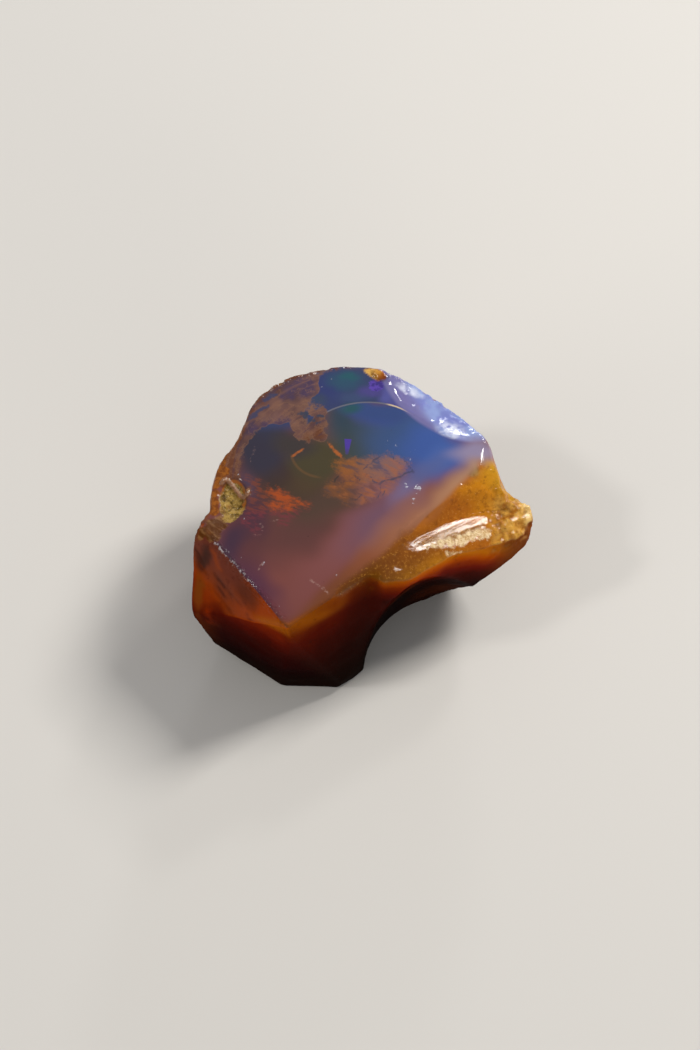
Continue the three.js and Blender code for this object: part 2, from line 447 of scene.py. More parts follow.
# Soft hazes under the window, laid in this order: centre, reach and turn in plan, softness, strength, shade.
HAZES = {
    "dusk purple": ((-17.2, -12.2), (7.6, 2.6), -50, 0.7, 1.0, (88, 50, 69)),
    "wine": ((-16.0, -7.0), (4.5, 4.0), 0, 0.8, 1.0, (92, 53, 58)),
    "brown": ((-9.0, -6.5), (6.0, 3.6), 10, 0.8, 1.0, (97, 60, 57)),
    "umber": ((-6.5, -1.5), (7.5, 3.8), 0, 0.7, 1.0, (82, 62, 52)),
    "taupe": ((-12.0, 2.5), (5.0, 4.5), 0, 0.7, 1.0, (67, 51, 46)),
    "warm taupe": ((-8.2, 0.8), (2.5, 1.6), 0, 0.9, 0.8, (80, 64, 44)),
    "mauve band": ((-1.5, -7.5), (9.0, 2.4), 45, 0.8, 0.9, (130, 78, 77)),
    "violet shade": ((2.5, -4.2), (6.2, 2.5), 46, 0.95, 0.9, (112, 80, 98)),
    "violet tip": ((6.5, -0.2), (2.8, 1.6), 46, 0.8, 1.0, (126, 100, 126)),
    "rose": ((5.8, -4.2), (7.0, 1.3), 46, 0.9, 0.8, (144, 96, 86)),
    "slate": ((-0.5, 8.0), (5.4, 4.8), 0, 0.6, 1.0, (62, 71, 72)),
    "olive": ((-6.7, 4.8), (3.9, 3.9), 0, 0.35, 1.0, (74, 66, 46)),
    "indigo": ((-14.2, 6.8), (4.2, 4.6), -10, 0.4, 1.0, (56, 52, 66)),
    "indigo core": ((-12.6, 9.6), (3.2, 2.0), 0, 0.7, 0.8, (56, 55, 73)),
    "dusk": ((-9.8, 7.9), (2.4, 2.2), 0, 0.8, 1.0, (64, 57, 56)),
    "teal": ((-3.0, 11.8), (2.8, 2.4), 0, 0.8, 0.9, (48, 68, 84)),
    "blue": ((5.8, 8.6), (5.2, 5.8), -20, 0.6, 1.0, (60, 82, 124)),
    "blue glow": ((2.6, 12.4), (2.6, 1.8), 0, 0.8, 0.9, (56, 76, 138)),
    "deep blue": ((10.4, 6.6), (4.8, 4.2), -30, 0.6, 1.0, (62, 89, 156)),
    "bright blue": ((12.0, 5.2), (3.0, 1.9), 42, 0.8, 1.0, (72, 99, 166)),
    "blue edge": ((9.2, 2.6), (4.2, 1.3), 44, 0.9, 0.7, (88, 96, 145)),
    "night violet": ((-18.4, -8.0), (1.3, 2.6), -25, 0.8, 0.8, (64, 46, 66)),
    "smoky violet": ((-15.9, -3.4), (2.0, 3.4), 12, 0.7, 0.8, (72, 47, 62)),
    "arc blue": ((2.4, 13.4), (6.6, 1.9), -6, 0.6, 1.0, (56, 75, 126)),
    "plum haze": ((16.6, 6.2), (3.4, 1.7), 10, 0.7, 1.0, (144, 133, 163)),
    "pit shade": ((-16.6, 0.9), (1.2, 2.0), 10, 0.8, 0.8, (74, 62, 84)),
}
# Patches of the higher layer behind the curved step, of painted glow and shade on the left flank, and of the
# left facet, with the same columns.
TOP_PATCHES = [
    ((-5.2, 16.6), (2.4, 2.6), 0, 0.7, 1.0, (54, 62, 110)),
    ((-6.4, 14.4), (1.2, 1.0), 0, 0.7, 1.0, (60, 70, 96)),
    ((-2.4, 18.0), (2.4, 1.5), 0, 0.7, 1.0, (50, 80, 104)),
    ((-1.2, 15.2), (2.4, 0.9), 0, 0.7, 1.0, (62, 76, 112)),
    ((3.4, 15.4), (1.0, 1.8), 0, 0.7, 1.0, (84, 86, 150)),
    ((4.6, 13.9), (1.4, 0.9), 0, 0.7, 1.0, (78, 78, 140)),
    ((-2.0, 18.5), (1.3, 0.6), 0, 0.7, 1.0, (44, 88, 100)),
    ((1.2, 16.2), (1.6, 0.8), 0, 0.7, 1.0, (76, 70, 132)),
]
PAINTED_FLANK_GLOW = [
    ((-22.6, -14.2), (1.5, 0.9), 0, 0.5, 1.0, (168, 52, 0)),
    ((-20.4, -15.6), (1.2, 0.8), 0, 0.5, 1.0, (170, 56, 0)),
    ((-21.6, -14.6), (0.6, 0.9), 0, 0.5, 1.0, (88, 18, 0)),
    ((-23.4, -10.6), (0.8, 1.6), 0, 0.5, 1.0, (126, 60, 8)),
    ((-23.2, -7.4), (0.8, 0.7), 0, 0.5, 1.0, (88, 42, 22)),
]
BEVEL_PATCHES = [
    ((-16.2, -15.2), (2.3, 0.9), -50, 0.6, 0.85, (100, 42, 20)),
    ((-22.9, -8.5), (1.1, 0.9), 0, 0.6, 0.85, (58, 30, 22)),
    ((-20.6, -15.2), (0.8, 0.5), -60, 0.6, 0.85, (92, 20, 0)),
]
# The veil that hangs in from the left and top rims, and its tints.
VEIL = [
    (-19.3, 2.6, 1.7), (-19.2, 4.6, 2.1), (-19.0, 6.6, 1.8), (-18.7, 8.4, 2.1), (-17.6, 10.2, 2.2),
    (-16.2, 11.6, 2.1), (-14.2, 12.8, 2.4), (-12.2, 13.2, 2.6), (-13.5, 16.5, 3.0), (-10.6, 16.2, 3.0),
    (-8.9, 18.6, 2.6), (-8.3, 16.4, 1.9), (-9.0, 14.2, 1.8), (-10.1, 12.6, 1.5), (-9.2, 10.8, 1.5),
    (-7.8, 9.6, 1.6), (-6.6, 9.4, 1.3), (-6.2, 10.9, 1.2), (-6.0, 12.3, 1.1), (-7.2, 12.9, 1.0),
    (-7.9, 7.9, 0.5), (-5.7, 8.6, 0.8), (-6.0, 20.0, 1.1), (-8.9, 9.0, 1.0),
]
VEIL_MAUVE = [
    (-8.1, 16.3, 1.3), (-7.9, 17.4, 1.0), (-10.4, 16.4, 0.9), (-11.6, 15.2, 0.7), (-12.4, 11.2, 1.0),
    (-13.9, 10.7, 0.8), (-11.0, 11.2, 0.6), (-15.9, 10.0, 0.9), (-9.4, 17.6, 0.8), (-10.3, 15.2, 0.5),
]
VEIL_PEACH = [
    (-9.0, 13.3, 0.8), (-7.6, 12.4, 0.7), (-9.7, 10.4, 0.7), (-8.2, 14.2, 0.9), (-7.0, 15.4, 0.5),
    (-14.2, 11.8, 0.7), (-12.7, 12.0, 0.6), (-10.2, 13.9, 0.5), (-6.2, 13.2, 0.5), (-12.4, 13.8, 0.8),
    (-5.6, 11.0, 0.5), (-6.4, 17.2, 0.4),
]
VEIL_RUST = [
    (-6.4, 9.0, 1.0), (-7.9, 8.4, 0.7), (-17.6, 4.2, 0.9), (-17.0, 3.0, 0.8), (-18.8, 6.4, 1.2),
    (-19.0, 4.6, 1.3), (-18.6, 8.2, 1.2), (-18.6, 2.6, 1.0), (-17.7, 10.4, 1.0), (-16.4, 12.9, 1.0),
    (-14.9, 15.2, 1.0), (-12.8, 17.2, 0.9), (-10.2, 18.9, 0.8),
]
SLIVERS = [((-17.3, 11.2), (-13.6, 14.0), 0.75), ((-14.6, 14.6), (-12.5, 15.8), 0.55)]
HOLES = [
    (-9.3, 12.3, 0.2), (-8.8, 12.35, 0.32), (-8.2, 12.3, 0.4), (-8.3, 11.7, 0.34), (-6.4, 11.95, 0.2),
    (-6.0, 12.0, 0.24), (-5.7, 11.9, 0.2), (-7.4, 11.25, 0.2), (-7.0, 11.2, 0.26), (-6.6, 10.8, 0.2),
    (-7.7, 10.9, 0.16), (-6.2, 10.9, 0.14),
]
FLARES = [
    ((-10.2, 5.3), (-8.5, 6.5), 0.34), ((-5.0, 7.6), (-3.9, 6.0), 0.34), ((-4.1, 6.3), (-2.9, 5.0), 0.5),
]
# The bank of ember clouds in the middle of the window, and the dark cracks in it.
EMBER = [
    (-3.6, 4.2, 0.6), (-2.8, 3.4, 0.9), (-2.2, 2.6, 0.9), (-1.2, 3.8, 0.9), (0.3, 3.9, 0.9),
    (1.6, 3.3, 1.3), (3.2, 3.6, 1.5), (4.6, 4.0, 1.2), (4.4, 2.9, 1.2), (5.6, 3.8, 0.8), (2.3, 2.2, 1.1),
    (0.2, 2.4, 0.8), (-4.6, -0.1, 0.7), (-3.4, -0.4, 1.0), (-2.0, -0.3, 1.2), (-0.5, 0.2, 1.1),
    (0.9, 0.3, 1.1), (0.6, 1.3, 0.8), (2.0, -0.2, 1.1), (3.4, 0.5, 0.9), (4.4, 0.8, 0.6), (-2.4, -1.5, 0.9),
    (-0.6, -1.5, 1.0), (1.2, -1.3, 0.9), (-1.4, 1.0, 0.7),
]
CRACKS = [
    ((0.1, 3.1), (1.4, 4.2), 0.16), ((1.3, 4.1), (2.7, 5.4), 0.18), ((7.6, 3.0), (5.4, 2.1), 0.24),
    ((5.6, 2.3), (4.7, 1.5), 0.28), ((5.0, 1.6), (3.3, 1.4), 0.26), ((3.5, 1.5), (2.3, 0.8), 0.24),
    ((2.6, 1.1), (2.6, -0.4), 0.22), ((2.6, -0.2), (2.0, -1.7), 0.20), ((0.2, 2.1), (1.4, 1.9), 0.18),
    ((1.1, 2.1), (1.6, 0.9), 0.22), ((1.4, 1.3), (2.5, 0.9), 0.20), ((4.2, 5.6), (4.7, 4.5), 0.20),
    ((4.6, 4.8), (5.6, 3.9), 0.18), ((6.1, 5.0), (6.5, 3.7), 0.22), ((6.4, 3.9), (7.4, 2.8), 0.20),
    ((-1.3, 2.2), (-0.2, 1.2), 0.26), ((-3.6, 2.3), (-3.9, 0.9), 0.34), ((-0.8, 0.6), (0.2, 0.0), 0.16),
    ((-3.2, -0.9), (-1.6, -1.5), 0.16), ((0.2, -0.7), (-1.1, -2.2), 0.18), ((3.4, -0.2), (2.9, -1.1), 0.16),
]
# The flames on the left of it, and their redder smoke.
FLAMES = [
    (-13.2, -0.1, 0.4), (-12.5, -0.4, 0.6), (-11.8, -1.0, 0.7), (-11.0, -1.5, 0.7), (-10.2, -2.0, 0.6),
    (-12.2, -2.7, 0.6), (-13.0, -2.6, 0.4), (-10.6, -3.1, 0.5), (-9.2, -2.2, 0.5), (-8.2, -2.4, 0.3),
]
SMOKE = [
    (-15.3, 1.2, 0.9), (-14.5, 0.4, 0.9), (-13.4, -1.8, 1.5), (-15.4, -1.0, 0.9), (-15.7, -3.0, 1.1),
    (-14.2, -3.0, 1.2), (-12.0, -2.0, 2.0), (-10.2, -2.8, 1.6), (-16.3, -4.8, 0.8), (-15.2, -6.2, 0.6),
    (-11.0, -4.6, 1.0), (-16.6, 1.8, 0.5), (-8.2, -2.6, 0.8),
]
# What lies on the window: dust specks that carry painted glints, smears and dark spots.
DUST_AND_GLINTS = [
    (7.75, 0.55, 0.17), (8.05, 0.35, 0.22), (8.3, 0.05, 0.15), (7.85, 0.05, 0.12), (8.2, -0.25, 0.1),
    (7.55, 0.25, 0.1), (6.3, 0.4, 0.2), (6.15, 0.8, 0.14), (6.25, -0.15, 0.12), (7.3, -1.55, 0.2),
    (7.2, -2.3, 0.13), (7.7, -0.8, 0.11), (3.6, 7.75, 0.13), (3.5, 7.2, 0.08), (4.8, 7.0, 0.14),
    (5.1, 6.85, 0.1), (7.0, 5.9, 0.12), (6.9, 4.8, 0.1), (7.6, 6.4, 0.1), (-15.7, 6.3, 0.1),
    (-4.5, 18.3, 0.16), (-5.9, 17.0, 0.14), (5.9, 1.2, 0.1), (-17.8, 2.7, 0.16), (-13.9, -11.35, 0.16),
    (-14.2, -11.6, 0.1), (-3.6, -13.3, 0.12), (-3.7, -16.0, 0.13), (-17.2, -10.3, 0.1), (-11.7, -17.9, 0.1),
    (-16.9, -4.4, 0.12),
]
SMEARS = [
    ((-7.6, -13.9), (-5.7, -15.2), 0.34), ((-5.9, -15.0), (-4.8, -16.2), 0.26),
    ((-14.3, -6.2), (-14.4, -5.2), 0.22), ((-15.7, -7.0), (-14.6, -6.9), 0.16),
    ((-14.9, -12.3), (-14.0, -11.3), 0.14), ((-15.5, 6.9), (-15.7, 5.9), 0.1),
    ((-15.9, 5.8), (-16.1, 4.7), 0.1), ((-13.2, -4.9), (-11.9, -4.7), 0.12),
]
SPOTS = [(-5.45, -14.35, 0.16), (-7.8, -7.4, 0.14), (-8.2, 3.2, 0.1), (4.2, 9.6, 0.08)]
# The pale grains in the groove, the matrix in the pit with its tail, and the grainy strip down the left rim.
SAND = [
    (9.2, -8.75, 0.2), (10.2, -8.2, 0.35), (11.4, -7.6, 0.6), (12.7, -6.9, 0.75), (14.1, -6.2, 0.9),
    (15.5, -5.4, 1.0), (16.7, -4.9, 1.0), (17.6, -4.8, 0.8), (12.4, -8.7, 0.25), (13.3, -8.5, 0.35),
    (14.2, -8.2, 0.35),
]
MATRIX = [(-18.6, 0.2, 1.5), (-18.5, -1.2, 1.8), (-18.6, -2.6, 1.7), (-18.8, -3.8, 1.1), (-19.6, -0.6, 1.1)]
TAIL = [(-20.4, -4.5, 0.8), (-21.3, -5.6, 1.4), (-22.7, -6.0, 0.8), (-21.2, -6.9, 0.8), (-20.0, -5.4, 0.8)]
STRIP = [
    (-21.3, -3.0, 0.9), (-21.5, -1.6, 0.9), (-21.2, -0.2, 0.7), (-20.9, 1.2, 0.7), (-20.5, 2.4, 0.9),
    (-20.0, 3.3, 0.9), (-20.3, 4.6, 0.7), (-20.1, 5.8, 0.6), (-19.9, 7.0, 0.5), (-19.5, 8.0, 0.35),
]
# Edges where light gathers, painted into the colour as a glow.
RIM_GLOW = [(-16.6, -17.3), (-10.5, -20.75), (-3.7, -16.9), (-1.8, -14.9)]  # light gathers in these edges
# Directions in plan that colours follow: along and away from the shoulder, from its start; along and away
# from the left facet's ridge; and from the scallop's edge into it.
SHOULDER_START = (-3.5, -16.8)
SHOULDER_ALONG = (0.689, 0.725)
SHOULDER_ASIDE = (0.725, -0.689)
BEVEL_ALONG = (0.678, -0.735)
BEVEL_ASIDE = (-0.735, -0.678)
SCALLOP_INWARD = (0.84, 0.54)
# The height of the lip above the notch, as x, z.
LIP_LEVEL = [(0.0, 22.7), (4.0, 21.8), (8.0, 21.3), (12.0, 20.3), (16.0, 18.7), (20.0, 16.6), (24.0, 13.5)]


def paint(red, green, blue):
    """The light values of a display colour."""
    channels = np.array([red, green, blue]) / 255
    return np.where(channels <= 0.04045, channels / 12.92, ((channels + 0.055) / 1.055) ** 2.4)


def gradient(values, *stops):
    """Colours along a row of stops: (value, shade)."""
    places = [at for at, _ in stops]
    shades = np.array([paint(*shade) for _, shade in stops])
    return np.stack([np.interp(values, places, shades[:, k]) for k in range(3)], 1)


def lay(under, over, mask, strength=1.0):
    """One colour laid over another through a mask; over may be a shade."""
    over = paint(*over) if isinstance(over, tuple) else over
    share = (strength * mask)[:, None]
    return under * (1 - share) + over * share


def blot(at, centre, reach, turn=0.0, soft=0.5):
    """A patch: 1 inside an ellipse, 0 outside, with an edge as wide as soft says."""
    return fade(reach_from(at, centre, reach, turn), 1 - soft, 1 + soft)


def patches(colour, at, rows, share=1.0):
    for centre, reach, turn, soft, strength, shade in rows:
        colour = lay(colour, shade, share * blot(at, centre, reach, turn, soft), strength)
    return colour


def pool(at, spots, melt=0.02):
    """Signed distance in mm to the edge of a cloud of round spots that melt together; negative inside."""
    gaps = np.array([np.hypot(at[:, 0] - x, at[:, 1] - y) - radius for x, y, radius in spots])
    nearest = gaps.min(0)
    return nearest - melt * np.log(np.exp((nearest - gaps) / melt).sum(0))


def strokes(at, streaks):
    """Signed distance in mm to the edge of a set of streaks that thin out at their ends."""
    gaps = []
    for start, end, width in streaks:
        distance, share = to_segment(at, start, end)
        gaps.append(distance - 0.5 * width * np.sqrt(np.clip(1 - (2 * share - 1) ** 4, 0.1, 1)))
    return np.min(gaps, 0)


class Painter:
    """Works out, at every vertex, the stone's soft colours and how far away the edge of each marking is."""

    def __init__(self, surface):
        self.mesh = surface.mesh
        self.points = surface.points
        self.plan = surface.points[:, :2]
        self.x, self.y, self.z = surface.points.T
        self.drift = self.warp(6.0, 1.2, 2, 1)
        self.ragged = self.warp(2.2, 0.45, 4, 2)
        self.frayed = self.warp(1.2, 0.4, 5, 3)
        self.broad = grain(self.points, 3.2, 4)
        self.fine = grain(self.points, 1.1, 5, 4)
        self.over_window = self.z - window_height(self.x, self.y)
        self.upward = step(surface.spread(surface.normals, 3)[:, 2], 0.15, 0.5)
        self.rim = surface.ridges(1)
        self.rim_glow = self.glow_in_rims()
        off = self.drift - SHOULDER_START
        self.along_shoulder = off @ SHOULDER_ALONG
        self.beyond_shoulder = off @ SHOULDER_ASIDE - 1.5 * step(self.along_shoulder, 2.0, 20.0) + 0.8
        self.below_lip = np.interp(self.x, *zip(*LIP_LEVEL)) - self.z

    def warp(self, size, amount, octaves, seed):
        """The places in plan, pushed about by up to an amount in mm."""
        push = [grain(self.points, size, seed + 10 * k, octaves) for k in (1, 2)]
        return self.plan + amount * np.stack(push, 1)

    def even(self, red, green, blue):
        return np.tile(paint(red, green, blue), (len(self.points), 1))

    def mottled(self, first, second, value, low=-0.3, high=0.3):
        return lay(self.even(*first), second, step(value, low, high))

    def on_face(self, face, near, far):
        return fade(np.abs(above(self.points, face)), near, far)

    def keep(self, name, values):
        """Stores a colour or a distance on the mesh, for the material to read."""
        if values.ndim == 2:
            opaque = np.column_stack([np.clip(values, 0, 1), np.ones(len(values))])
            layer = self.mesh.attributes.new(name, "FLOAT_COLOR", "POINT")
            layer.data.foreach_set("color", opaque.ravel())
        else:
            layer = self.mesh.attributes.new(name, "FLOAT", "POINT")
            layer.data.foreach_set("value", values.ravel())

    # ---- the flanks
    def flanks(self):
        """Amber with a painted glow under the rims and painted shade towards the foot, with crusts of potch
        at the back.
        """
        # Painted shade: darker towards the foot, brighter towards the rims.
        level = self.z + 2.0 * self.broad
        colour = gradient(level, (2, (36, 9, 2)), (9, (84, 32, 6)), (17, (132, 66, 16)), (24, (170, 100, 38)))
        crust = step(grain(self.points, 7.0, 9), 0.12, 0.3) * step(self.y, -2.0, 4.0) * step(self.z, 3.0, 9.0)
        colour = lay(colour, self.mottled((112, 84, 42), (152, 124, 78), self.fine), crust, 0.85)
        left = self.on_face("left_flank", 0.8, 2.0)
        # A painted glow on the left flank, fading into painted shade towards the foot.
        glow = gradient(
            self.z + 1.2 * self.broad,
            (6, (40, 3, 0)), (11, (86, 20, 0)), (15, (130, 43, 1)), (18, (158, 58, 1)), (22, (168, 66, 3)),
        )
        colour = lay(colour, glow, left * fade(self.y, -4.0, -1.0))
        # Spots of painted glow and shade on the left flank.
        colour = patches(colour, self.ragged, PAINTED_FLANK_GLOW, left)
        # Then a painted glow along the rims.
        return lay(self.front(colour, left), (160, 84, 4), self.rim_glow, 0.8)

    def front(self, colour, left):
        """The dark front: the prow's two faces and its foot in painted shade, and the notch under a painted
        glow at its lip.
        """
        # Painted shade: the prow darkens towards the foot.
        deep = gradient(
            self.z + self.broad,
            (2, (14, 1, 0)), (6, (28, 1, 0)), (9, (42, 3, 0)), (12, (56, 6, 0)), (15, (84, 13, 0)),
            (18, (116, 30, 0)), (21, (140, 54, 1)),
        )
        prow_left = self.on_face("prow_left", 0.6, 1.6) * step(-self.y, 12.0, 15.0)
        far_front = step(-self.y, 12.0, 14.5) * (1 - left)
        colour = lay(colour, deep, np.maximum(prow_left, far_front))
        # A painted glow under the lip, fading into painted shade further down and towards the left.
        lip = gradient(
            self.below_lip + 0.4 * self.broad,
            (-0.5, (206, 116, 4)), (0.6, (194, 84, 0)), (1.5, (152, 52, 0)), (3.0, (112, 20, 0)),
            (5.0, (66, 8, 0)), (8.0, (30, 3, 0)), (14.0, (20, 3, 0)),
        )
        lip = lay(lip, 0.55 * lip, fade(self.x, 2.0, 9.0))
        colour = lay(colour, lip, step(-self.y, 10.5, 12.5) * step(self.x, -5.0, -2.0))
        depth = self.over_window + 0.6 * self.broad
        # This ember is a painted glow under the prow's right ridge, fading into painted shade towards the
        # foot.
        ember = gradient(
            depth,
            (-19, (16, 3, 0)), (-13, (40, 5, 0)), (-9, (60, 8, 0)), (-5, (86, 15, 0)), (-2, (116, 40, 0)),
            (0, (146, 70, 5)),
        )
        ember = lay(ember, 0.6 * ember, step(self.x, -4.5, 1.0) * step(depth, -10.0, -5.0))
        prow_right = self.on_face("prow_right", 0.8, 2.2) * step(-self.y, 9.0, 10.5)
        colour = lay(colour, ember, prow_right)
        # Painted shade along the foot of the front.
        colour = lay(colour, (20, 4, 0), fade(self.z, 2.0, 7.0) * step(-self.y, 9.0, 13.0), 0.8)
        # The notch under the lip takes the same painted glow and shade.
        notch = blot(self.plan, (12.7, -16.0), (15.0, 13.0), 0, 0.15) * step(-self.y, 4.0, 7.0)
        return lay(colour, lip, notch * (1 - 0.8 * prow_right))

    # A painted glow: how strongly the light that gathers in the rims is painted into the colour.
    def glow_in_rims(self):
        gap, reach = along_path(self.points, RIM_GLOW)
        strength = np.interp(reach, [0.0, 2.5, 13.0, 18.0], [0.3, 1.0, 1.0, 0.0])
        return strength * np.exp(-((gap / 0.36) ** 2)) * step(self.z, 18.0, 20.0)

    def bevel(self):
        """The thin see-through facet on the left, mauve under the ridge and orange further out."""
        off = self.plan - BEVEL_RIDGE
        across, along = off @ BEVEL_ASIDE, off @ BEVEL_ALONG
        colour = gradient(
            across + 0.25 * self.broad,
            (-0.2, (120, 54, 36)), (0.8, (134, 56, 20)), (1.6, (144, 56, 5)), (3.0, (122, 48, 3)),
        )
        colour = lay(colour, (172, 66, 1), step(along, 4.5, 8.0) * (1 - 0.5 * step(across, 0.6, 2.0)))
        pale = strokes(self.ragged, [((-21.7, -8.2), (-20.0, -11.0), 0.5)])
        colour = lay(colour, (160, 66, 16), fade(pale, -0.25, 0.25), 0.7)
        colour = patches(colour, self.ragged, BEVEL_PATCHES)
        colour = lay(colour, (64, 22, 6), np.clip(bevel_scratches(self.points), 0, 1), 0.75)
        # A painted glow along the facet's rims.
        return lay(colour, (180, 92, 4), self.rim_glow, 0.85)

    # ---- the window
    def window(self):
        colour = patches(self.even(123, 70, 65), self.drift, HAZES.values())
        tan = gradient(
            self.along_shoulder,
            (0, (118, 66, 36)), (8, (140, 80, 50)), (16, (161, 107, 78)), (24, (178, 131, 97)),
            (30, (172, 136, 112)),
        )
        plum = blot(self.drift, (17.2, 6.9), (2.4, 1.9))
        colour = lay(colour, tan, step(self.beyond_shoulder, -3.0, -0.6) * (1 - 0.9 * plum), 0.9)
        # A painted glow along the window's rims.
        return lay(colour, (150, 80, 6), self.rim_glow, 0.7)

    def top_layer(self):
        return patches(self.even(58, 66, 102), self.ragged, TOP_PATCHES)

    def veil(self):
        shade = self.mottled((92, 64, 60), (112, 78, 70), self.broad)
        for spots, tint, strength in (
            (VEIL_MAUVE, (74, 58, 86), 0.85),
            (VEIL_PEACH, (130, 92, 74), 0.7),
            (VEIL_RUST, (104, 58, 28), 0.8),
        ):
            shade = lay(shade, tint, fade(pool(self.frayed, spots), -0.6, 0.6), strength)
        return shade

    def ember(self):
        upper = self.mottled((152, 92, 42), (144, 100, 84), self.x, -2.0, 2.0)
        lower = self.mottled((122, 76, 48), (134, 90, 90), self.x, -2.5, 1.5)
        return lay(upper, lower, fade(self.y - 0.1 * self.x, 0.2, 1.6))

    # ---- the lilac scallop, the amber face, the matrix
    def lilac(self):
        colour = self.mottled((124, 132, 194), (142, 158, 208), self.broad)
        past_edge = (self.drift - SCALLOP_EDGE[1]) @ SCALLOP_INWARD
        colour = lay(colour, (112, 104, 154), fade(past_edge, 0.2, 2.8), 0.9)
        colour = lay(colour, (144, 133, 163), blot(self.ragged, (17.0, 6.9), (2.6, 1.8), 10, 0.7))
        # Painted highlights: two patches of white glare on the scallop, broken up by the fine grain.
        for centre, reach, turn in (((12.9, 9.9), (1.9, 1.6), -30), ((7.0, 17.0), (1.7, 0.8), -20)):
            painted_glare = blot(self.frayed, centre, reach, turn) * step(self.fine, -0.6, 0.1)
            colour = lay(colour, (222, 226, 244), painted_glare, 0.8)
        return colour

    def amber(self):
        """Brown at the lower end of the shoulder, brighter and yellower towards the right."""
        colour = gradient(
            self.along_shoulder + 1.4 * self.broad + 0.7 * self.fine,
            (2, (98, 46, 3)), (8, (114, 62, 8)), (16, (144, 80, 8)), (22, (168, 92, 4)), (27, (198, 126, 8)),
            (31, (196, 142, 24)),
        )
        gold = gradient(
            self.x,
            (0, (106, 58, 8)), (5, (136, 84, 8)), (9, (170, 108, 6)), (13, (206, 136, 12)),
            (18, (208, 132, 12)),
        )
        colour = lay(colour, gold, step(self.below_lip + 0.3 * self.broad, -1.6, -0.2), 0.9)
        shell = fade(strokes(self.ragged, [((8.0, -8.6), (17.0, -3.4), 1.9)]), -0.5, 0.6)
        colour = lay(colour, (140, 104, 50), shell, 0.6)
        wing = step(self.x, 17.6, 20.0) * step(-self.y, -1.5, 0.0)
        colour = lay(colour, self.mottled((160, 96, 14), (216, 160, 66), self.fine, -0.5, 0.5), wing)
        edge = step(self.x + 0.4 * self.fine + 0.15 * self.y, 22.9, 23.7)
        return lay(colour, (236, 200, 124), edge, 0.8)

    def crumb(self):
        """The crumb of matrix on the back rim, straw yellow with a dark red-brown end."""
        centre, _, turn = CRUMB
        along = turned(self.frayed - centre[:2], turn)[:, 0]
        return gradient(
            along,
            (-1.5, (224, 174, 88)), (0.2, (206, 144, 56)), (0.9, (160, 84, 22)), (1.6, (106, 34, 18)),
        )

    # ---- where everything is
    def edges(self):
        """Distance in mm to the edge of each marking, negative inside it."""
        veil_softness = 0.5 + 2.2 * step(grain(self.points, 3.0, 21, 2), 0.0, 0.35)
        low_on_rim = 4.0 * fade(self.over_window + 0.5 * self.broad, -4.4, -3.2)
        speckle = self.warp(0.4, 0.14, 2, 12)
        return {
            "veil_edge": pool(self.ragged, VEIL) / veil_softness,
            "ember_edge": pool(self.warp(1.6, 0.7, 5, 6), EMBER, 0.35),
            "crack_edge": strokes(self.warp(1.1, 0.3, 4, 7), CRACKS),
            "smoke_edge": pool(self.frayed, SMOKE),
            "flame_edge": pool(self.frayed, FLAMES, 0.2),
            "sliver_edge": strokes(self.frayed, SLIVERS),
            "flare_edge": strokes(self.warp(1.0, 0.1, 3, 8), FLARES),
            "hole_edge": pool(self.warp(0.8, 0.12, 3, 9), HOLES),
            "sand_edge": pool(self.ragged, SAND),
            "matrix_edge": pool(self.ragged, MATRIX) + low_on_rim,
            "tail_edge": pool(self.ragged, TAIL) + low_on_rim,
            "strip_edge": pool(self.frayed, STRIP) + low_on_rim,
            "lip_edge": off_path(self.points, PIT_LIP),
            "dust_and_glint_edge": pool(speckle, DUST_AND_GLINTS),
            "spot_edge": pool(speckle, SPOTS),
            "smear_edge": strokes(self.warp(0.8, 0.25, 3, 13), SMEARS),
            "lilac_edge": np.abs(reach_from(self.points, *SCALLOP) - 1) * 8.0 + 2.0 * (self.y < 5.2),
        }

    def shares(self):
        """How much of each zone or finish there is at every vertex, 0 to 1."""
        upper, high = step(self.z, 12.0, 14.0), step(self.z, 16.0, 19.0)
        amber = step(self.beyond_shoulder + 0.25 * self.broad, -0.5, 0.9)
        amber *= self.upward * step(self.z, 12.0, 15.0)
        corner = blot(self.plan, (18.4, 6.3), (2.4, 2.0), 0, 0.25)
        corner *= step(self.over_window + 0.4 * self.broad, -2.4, -1.0)
        crumb = fade((1 + 0.25 * self.fine) * reach_from(self.points, *CRUMB), 0.9, 1.15)
        gap, reach = along_path(self.points, LEFT_RIDGE)
        dull = np.max([
            fade(gap, 0.5, 1.0) * step(reach, 9.0, 11.0),
            fade(off_path(self.points, PROW_RIDGE), 0.5, 1.0),
            step(above(self.points, "left_bevel") - self.over_window, 0.05, 0.3),
            blot(self.plan, (0.4, -14.8), (3.0, 1.4), 46, 0.4),
        ], 0)
        # Where glints are painted: beads along the upper left ridge and along the outer left edge.
        painted_ridge_glints = fade(gap + 0.12 * self.fine, 0.05, 0.2) * fade(reach, 10.2, 11.2)
        painted_outer_glints = self.rim * step(-self.x, 21.0, 22.0) * between(self.y, -13.5, -8.5, 0.8) * upper
        ridge = fade(gap, 0.45, 0.8) * step(self.z, 17.0, 19.0)
        return {
            "amber_share": amber,
            "corner": corner,
            "crumb_share": crumb,
            "rim": self.rim * between(compass(self.points), 84, 212, 6) * high,
            "wet": np.maximum(step(self.over_window, -1.6, -0.7) * self.upward, amber) * (1 - dull),
            "beads": np.maximum(painted_ridge_glints, painted_outer_glints) * upper,
            "chipped": np.maximum(self.rim * step(self.z, 14.0, 16.0), ridge),
        }

    def run(self):
        for layer in (
            self.flanks, self.bevel, self.window, self.top_layer, self.veil, self.ember, self.lilac,
            self.amber, self.crumb,
        ):
            self.keep(layer.__name__, layer())
        for name, values in {**self.edges(), **self.shares()}.items():
            self.keep(name, values)


